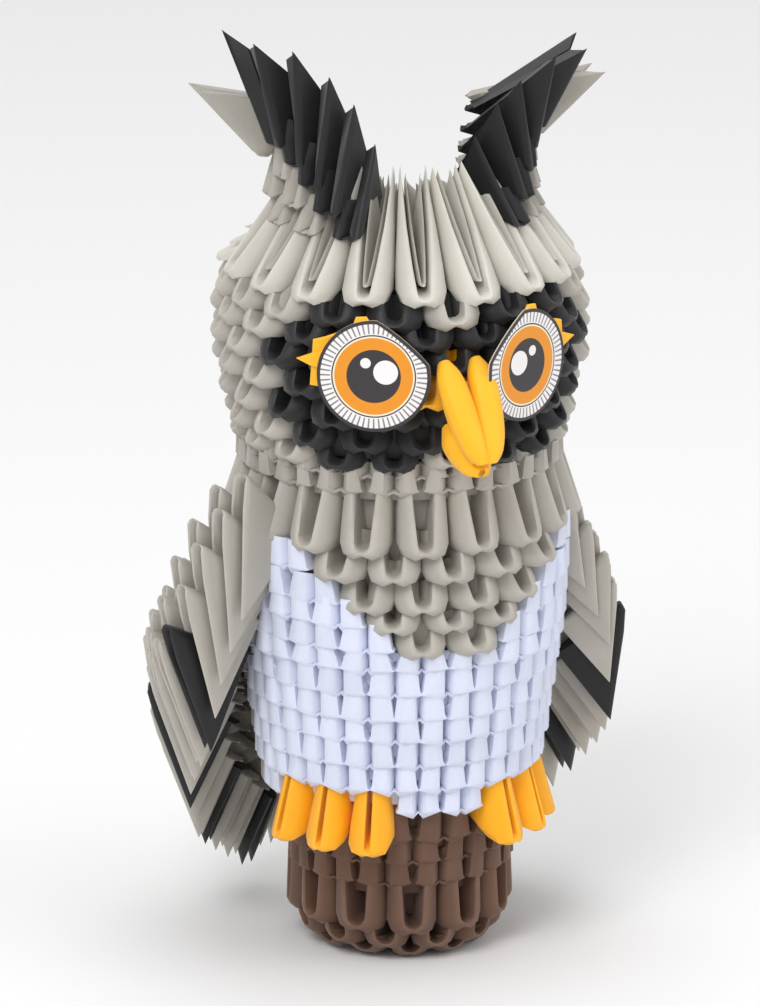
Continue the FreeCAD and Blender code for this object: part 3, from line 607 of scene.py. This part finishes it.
# Rows of triangles with their folds up and tips down, each row lower than the last. A
# triangle that two rows further down hide is cut short.
def buildCapes():
    sides = {(side, colour): [] for side in (-1, 1) for colour in ("black", "grey")}
    for row in range(1, cape["rows"] + 1):
        shoulderOut, shoulderUp, tipOut, tipUp = (
            np.interp(row, capeStations[:, 0], capeStations[:, k]) for k in (1, 2, 3, 4))
        angles = capeAngles(row)
        fade = 1 - np.clip((row - capeFall["fullRow"]) / (capeFall["endRow"] - capeFall["fullRow"]), 0, 1)
        tuck = np.array([np.interp(row, capeTuck[:, 0], capeTuck[:, k]) for k in (1, 2, 3, 4)])
        covered = capeAngles(row + 2)[0] if row + 2 <= cape["rows"] else math.inf
        for place, angle in enumerate(angles):
            behind = angle - angles[0]
            fall = fade * np.array([min(capeFall["inward"] * behind, capeFall["inwardMost"]),
                                    min(capeFall["down"] * behind, capeFall["downMost"])])
            bare = place == 0 or angle < covered - 1 or place == len(angles) - 1
            colour = "black" if place == 0 and row in cape["blackEdges"] else "grey"
            for side in (-1, 1):
                corner = np.array([shoulderOut, shoulderUp]) - fall
                tip = np.array([tipOut, tipUp]) - fall * np.array([0, 1])
                if side > 0:
                    corner = corner - tuck[:2]
                    tip = tip - tuck[2:]
                along = tip - corner
                centre = (corner + tip) / 2 + np.array([along[1], -along[0]]) / 2
                grid = triangleGrid("flat", corner, tip, centre, cape["gap"], cape["bulge"], cape["lip"],
                                    1.0 if bare else cape["hiddenShow"], taper=cape["taper"],
                                    blunt=cape["blunt"])
                sides[(side, colour)].append(
                    placeTriangles(grid, [side * angle], shoulderOut, mirror=-side, jitter=0.5))
    for (side, colour), parts in sides.items():
        paperPiece("wing_%s_%s" % ("left" if side < 0 else "right", colour), parts)


# Printed eye: the brow is cut off the disc on the side towards the beak. The bands give
# each printed ring's inner and outer radius; the last runs on to the edge.
eye = dict(radius=14.0, brow=10.8, browBow=1.1, browTurn=50, border=0.85, thick=0.6, columns=240,
           ticks=60, tickShare=0.24, stand=48.6, height=159.6, glintPoints=32, glintRise=0.07,
           rowGap=0.012, lastRow=0.015, edgeRound=0.12,
           left=dict(turn=-25.5, swing=0), right=dict(turn=21.0, swing=10.0),
           glints=((3.05, 2.95, 1.1), (1.3, -2.0, 3.3)))
eyeInks = dict(dark=linear(48, 41, 45), iris=linear(232, 146, 14), cream=linear(244, 232, 208),
               white=linear(240, 236, 236))
eyeBands = [(0, 6.7, "dark"), (6.7, 9.7, "iris"), (9.7, 10.1, "cream"), (10.1, 10.45, "dark"),
            (10.45, 10.7, "white"), (10.7, 13.15, "ticks"), (13.15, 99, "dark")]


def printedCardMaterial():
    material = bpy.data.materials.new("printed_card")
    material.use_nodes = True
    tree = material.node_tree
    shader = tree.nodes["Principled BSDF"]
    paper = tree.nodes.new("ShaderNodeGroup")
    paper.node_tree = paperGroup
    paper.inputs["Clouds"].default_value = 0.04
    paper.inputs["Wear"].default_value = 0
    paper.inputs["Roughness"].default_value = 0.36
    ink = tree.nodes.new("ShaderNodeAttribute")
    ink.attribute_name = "ink"
    shader.inputs["Specular IOR Level"].default_value = 0.45
    shader.inputs["Coat Weight"].default_value = 0.15
    shader.inputs["Coat Roughness"].default_value = 0.3
    wire(tree, (ink.outputs["Color"], paper.inputs["Colour"]),
         (paper.outputs["Colour"], shader.inputs["Base Color"]),
         (paper.outputs["Roughness"], shader.inputs["Roughness"]))
    return material


papers["printed_card"] = printedCardMaterial()


# The disc's edge at angle a: its radius, or the brow's distance / cos(a - brow), where
# the brow bows out a little in its middle. Each ring of the print has its own inner and
# outer row of points, so its edges stay sharp, and every row is held a border's width
# inside the disc's edge.
def eyeDisc():
    angle = np.arange(eye["columns"]) * 2 * math.pi / eye["columns"]
    fromBrow = angle - math.radians(eye["browTurn"])
    facing = np.cos(fromBrow)
    brow = eye["brow"] + eye["browBow"] * (1 - np.clip(np.abs(np.tan(fromBrow)) / 0.95, 0, 1) ** 2)
    edge = np.where(facing > 0.2, np.minimum(eye["radius"], brow / np.maximum(facing, 0.2)), eye["radius"])
    rows, inks = [], []
    step = np.arange(eye["columns"]) * eye["ticks"] / eye["columns"] % 1
    for inner, outer, name in eyeBands:
        if name == "ticks":
            ink = np.where((step < eye["tickShare"])[:, None], eyeInks["dark"], eyeInks["white"])
        else:
            ink = np.broadcast_to(eyeInks[name], (eye["columns"], 4))
        for limit, nudge in ((inner, eye["rowGap"]), (outer, -eye["rowGap"])):
            inset = edge if limit > eye["radius"] else edge - eye["border"]
            last = eye["lastRow"] if outer > eye["radius"] and limit == inner else 0
            rows.append(np.minimum(max(limit + nudge, 0) if limit else 0, inset) + last)
            inks.append(ink)
    return angle, edge, np.array(rows), np.array(inks)


# Where a disc stands, the way towards the beak and the way it faces, as vectors.
def eyePlace(word):
    sign = -1 if word == "left" else 1
    turn = math.radians(eye[word]["turn"])
    facing = math.radians(eye[word]["turn"] + sign * eye[word]["swing"])
    across = np.array([math.cos(facing), math.sin(facing), 0]) * -sign
    out = np.array([math.sin(facing), -math.cos(facing), 0])
    centre = np.array([math.sin(turn) * eye["stand"], -math.cos(turn) * eye["stand"], eye["height"]])
    return centre, across, out


# The disc: the print's rows flat on its face, then down the edge and across the back. A
# point stands at centre + towards the beak + up + out. The glints are thin raised discs.
def eyePiece(word):
    angle, edge, rows, inks = eyeDisc()
    count = eye["columns"]
    rows = np.vstack([rows, edge, edge, np.zeros(count)])
    depth = np.concatenate([np.zeros(len(rows) - 3), [-eye["edgeRound"], -eye["thick"], -eye["thick"]]])
    card = np.broadcast_to(eyeInks["cream"], (count, 4))
    inks = np.concatenate([inks, [inks[-1], card, card]])
    towards, up = rows * np.cos(angle), rows * np.sin(angle)
    lift = np.broadcast_to(depth[:, None], rows.shape)
    many = eye["glintPoints"]
    glintTurn = np.arange(many) * 2 * math.pi / many
    points = [np.stack([towards, up, lift], -1).reshape(-1, 3)]
    colours = [inks.reshape(-1, 4)]
    faces = [gridFaces(len(rows), count)]
    ends = []
    start = rows.size
    for radius, x, y in eye["glints"]:
        ring = np.stack([x + radius * np.cos(glintTurn), y + radius * np.sin(glintTurn)], -1)
        points += [np.column_stack([ring, np.full(many, level)]) for level in (0.0, eye["glintRise"])]
        colours.append(np.broadcast_to(eyeInks["white"], (2 * many, 4)))
        faces.append(gridFaces(2, many) + start)
        ends += [np.arange(many) + start + many, np.arange(many)[::-1] + start]
        start += 2 * many
    points, colours = np.concatenate(points), np.concatenate(colours)
    centre, across, out = eyePlace(word)
    centre = centre + out * eye["thick"]
    world = centre + points[:, :1] * across + points[:, 2:] * out + points[:, 1:2] * np.array([0, 0, 1])
    mesh = bpy.data.meshes.new("eye_%s_card" % word)
    allFaces = [face.tolist() for group in faces + [np.array(ends)] for face in group]
    mesh.from_pydata((world * mm).tolist(), [], allFaces)
    ink = mesh.attributes.new("ink", "FLOAT_COLOR", "POINT")
    ink.data.foreach_set("color", colours.astype(np.float32).ravel())
    tone = mesh.attributes.new("tone", "FLOAT", "POINT")
    tone.data.foreach_set("value", np.full(len(world), 0.5, np.float32))
    mesh.materials.append(papers["printed_card"])
    shape = bmesh.new()
    shape.from_mesh(mesh)
    bmesh.ops.remove_doubles(shape, verts=shape.verts, dist=1e-6)
    bmesh.ops.recalc_face_normals(shape, faces=shape.faces)
    shape.to_mesh(mesh)
    shape.free()
    standFor(mesh, "eye_" + word)


# A folded leaf: an outline with a thickness, whose front edge is set in by a narrow slope.
def leafPart(outline, thick, origin, across, out):
    outline = np.array(outline, float)
    count = len(outline)
    middle = outline.mean(0)
    away = outline - middle
    away /= np.linalg.norm(away, axis=1)[:, None]
    local = np.concatenate([np.column_stack([outline - away * inset, np.full(count, level * thick)])
                            for inset, level in ((0.0, -0.5), (0.0, 0.2), (0.25, 0.5))])
    points = origin + local[:, :1] * across + local[:, 2:] * out + local[:, 1:2] * np.array([0, 0, 1])
    quads = gridFaces(3, count)
    ends = np.stack([np.arange(count)[::-1], 2 * count + np.arange(count)])
    crease = np.repeat([0.2, 0.8, 0.3], count)
    return points, quads, ends, crease, np.full(len(points), 0.5)


# Spiky folded corners showing past each disc's outer edge: (towards the beak, up).
padLeaves = [
    dict(outline=[(-5, 10.4), (-9, 10.2), (-12.2, 9.0), (-15.2, 8.2), (-16.0, -3.2), (-13.2, -3.6), (-4, -2)],
         depth=-1.6, thick=1.2),
    dict(outline=[(-11, 6.2), (-15.4, 5.0), (-19.2, 3.6), (-16.8, 2.4), (-15.2, 1.6), (-11, 1.0)],
         depth=-0.7, thick=0.9),
    dict(outline=[(0.5, 11.0), (-2.0, 14.6), (-4.6, 14.4), (-6.5, 9.0)], depth=-0.8, thick=0.8),
]


def buildPads():
    for word in ("left", "right"):
        centre, across, out = eyePlace(word)
        parts = [leafPart(leaf["outline"], leaf["thick"], centre + out * leaf["depth"], across, out)
                 for leaf in padLeaves]
        starts = np.cumsum([0] + [len(part[0]) for part in parts[:-1]])
        flip = -1 if word == "left" else 1  # mirrored faces are turned back outwards
        quads = np.concatenate([part[1][:, ::flip] + start for part, start in zip(parts, starts)])
        caps = [part[2][:, ::flip] + start for part, start in zip(parts, starts)]
        points, crease, tone = (np.concatenate([part[k] for part in parts]) for k in (0, 3, 4))
        node = "eye_pad_" + word
        makePiece(node + "_paper", points, [quads] + caps, papers[slotOf[node]],
                  {"crease": crease, "tone": tone}, node)


# Beak folds as tapered bars. Stations along the path give sideways, forward, up, half
# width and half depth in millimetres from the beak's root; the section is a superellipse.
beak = dict(root=(0.0, -46.6, 160.6), yaw=9.0)
beakRidge = np.array([
    [4.3, 0.0, 1.6, 1.5, 1.6], [4.2, 2.4, -0.6, 3.1, 2.4], [4.0, 5.4, -4.4, 3.7, 2.9],
    [3.5, 8.8, -9.6, 3.7, 3.0], [2.9, 12.0, -14.8, 3.3, 2.7], [2.0, 14.2, -18.6, 2.6, 2.2],
    [1.1, 15.1, -20.6, 1.5, 1.3]])
beakFlap = np.array([
    [3.0, 0.0, -4.0, 1.6, 1.2], [3.2, 3.0, -7.4, 2.9, 1.8], [3.0, 7.0, -12.4, 3.0, 1.9],
    [2.4, 10.8, -17.2, 2.6, 1.6], [1.6, 13.2, -20.4, 1.6, 1.0]])
beakJaw = np.array([
    [2.2, -1.0, -15.0, 1.8, 2.0], [2.3, 2.0, -17.6, 3.0, 4.2], [2.0, 6.0, -20.6, 2.9, 3.8],
    [1.4, 9.8, -22.8, 2.5, 2.4], [0.6, 12.2, -23.6, 1.5, 1.2]])


def barPart(stations, side, power, steps=18, around=20):
    share = np.linspace(0, 1, steps)
    knots = np.linspace(0, 1, len(stations))
    smooth = np.array([np.interp(share, knots, stations[:, k]) for k in range(5)])
    kernel = np.array([1, 2, 1]) / 4
    padded = np.pad(smooth, ((0, 0), (1, 1)), mode="reflect", reflect_type="odd")
    sideways, forward, up, width, depth = np.array([np.convolve(row, kernel, "valid") for row in padded])
    alongForward, alongUp = np.gradient(forward), np.gradient(up)
    size = np.hypot(alongForward, alongUp)
    angle = np.arange(around) * 2 * math.pi / around
    bend = np.sign(np.cos(angle)) * np.abs(np.cos(angle)) ** (2 / power)
    rise = np.sign(np.sin(angle)) * np.abs(np.sin(angle)) ** (2 / power)
    x = side * sideways[:, None] + width[:, None] * bend
    y = forward[:, None] + depth[:, None] * rise * (-alongUp / size)[:, None]
    z = up[:, None] + depth[:, None] * rise * (alongForward / size)[:, None]
    yaw = math.radians(beak["yaw"])
    points = np.stack([x * math.cos(yaw) + y * math.sin(yaw), x * math.sin(yaw) - y * math.cos(yaw), z], -1)
    points = points.reshape(-1, 3) + np.array(beak["root"])
    quads = gridFaces(steps, around)[:, ::-1]
    ends = np.stack([np.arange(around), ((steps - 1) * around + np.arange(around))[::-1]])
    crease = np.broadcast_to(0.5 * np.abs(rise) ** 8, x.shape).reshape(-1)
    return points, quads, ends, crease, np.full(len(points), 0.5)


def buildBeak():
    paperPiece("beak_upper", [barPart(stations, side, power) for side in (-1, 1)
                              for stations, power in ((beakRidge, 2.4), (beakFlap, 3.0))])
    paperPiece("beak_lower", [barPart(beakJaw, side, 2.6) for side in (-1, 1)])


buildBase()
buildBelly()
buildChest()
buildFace()
buildCrown()
buildFeet()
buildEars()
buildCapes()
eyePiece("left")
eyePiece("right")
buildPads()
buildBeak()
print("rings, feet, ears, capes and eyes ready")


studioStrength = 0.62


def buildStage():
    mesh = bpy.data.meshes.new("floor")
    side = 6.0
    corners = [(-side, -side, 0), (side, -side, 0), (side, side, 0), (-side, side, 0)]
    mesh.from_pydata(corners, [], [(0, 1, 2, 3)])
    floor = bpy.data.objects.new("floor", mesh)
    bpy.context.scene.collection.objects.link(floor)
    material = bpy.data.materials.new("paleFloor")
    material.use_nodes = True
    shader = material.node_tree.nodes["Principled BSDF"]
    shader.inputs["Base Color"].default_value = (0.9, 0.9, 0.9, 1)
    shader.inputs["Roughness"].default_value = 0.9
    mesh.materials.append(material)
    world = bpy.data.worlds.new("studio")
    bpy.context.scene.world = world
    world.use_nodes = True
    background = world.node_tree.nodes["Background"]
    background.inputs["Color"].default_value = (1, 1, 1, 1)
    background.inputs["Strength"].default_value = studioStrength


lights = {
    "key": dict(place=(-0.9, -1.1, 1.5), size=0.9, power=17),
    "fill": dict(place=(1.4, -1.0, 0.9), size=1.2, power=6),
    "top": dict(place=(0.1, 0.3, 1.8), size=1.2, power=8),
}


def aim(thing, target):
    thing.rotation_euler = (Vector(target) - Vector(thing.location)).to_track_quat("-Z", "Y").to_euler()


def buildLights():
    for name, light in lights.items():
        data = bpy.data.lights.new(name, "AREA")
        data.size = light["size"]
        data.energy = light["power"]
        lamp = bpy.data.objects.new(name, data)
        lamp.location = light["place"]
        bpy.context.scene.collection.objects.link(lamp)
        aim(lamp, (0, 0, 0.12))


bpy.context.scene.view_settings.view_transform = "Standard"  # paper colours as they are
view = dict(turn=-17.85, distance=2.205, height=0.760, lookAt=0.1132, aside=0.005, lens=328.9)


def buildCamera():
    turn = math.radians(view["turn"])
    away = (math.sin(turn), -math.cos(turn))
    right = (math.cos(turn), math.sin(turn))
    shift = [-view["aside"] * part for part in right]
    camera = bpy.data.objects.new("camera", bpy.data.cameras.new("camera"))
    camera.data.lens = view["lens"]
    camera.data.clip_end = 50
    x, y = (view["distance"] * part + push for part, push in zip(away, shift))
    camera.location = (x, y, view["height"])
    bpy.context.scene.collection.objects.link(camera)
    aim(camera, (shift[0], shift[1], view["lookAt"]))
    bpy.context.scene.camera = camera


buildStage()
buildLights()
buildCamera()
print("stage ready")
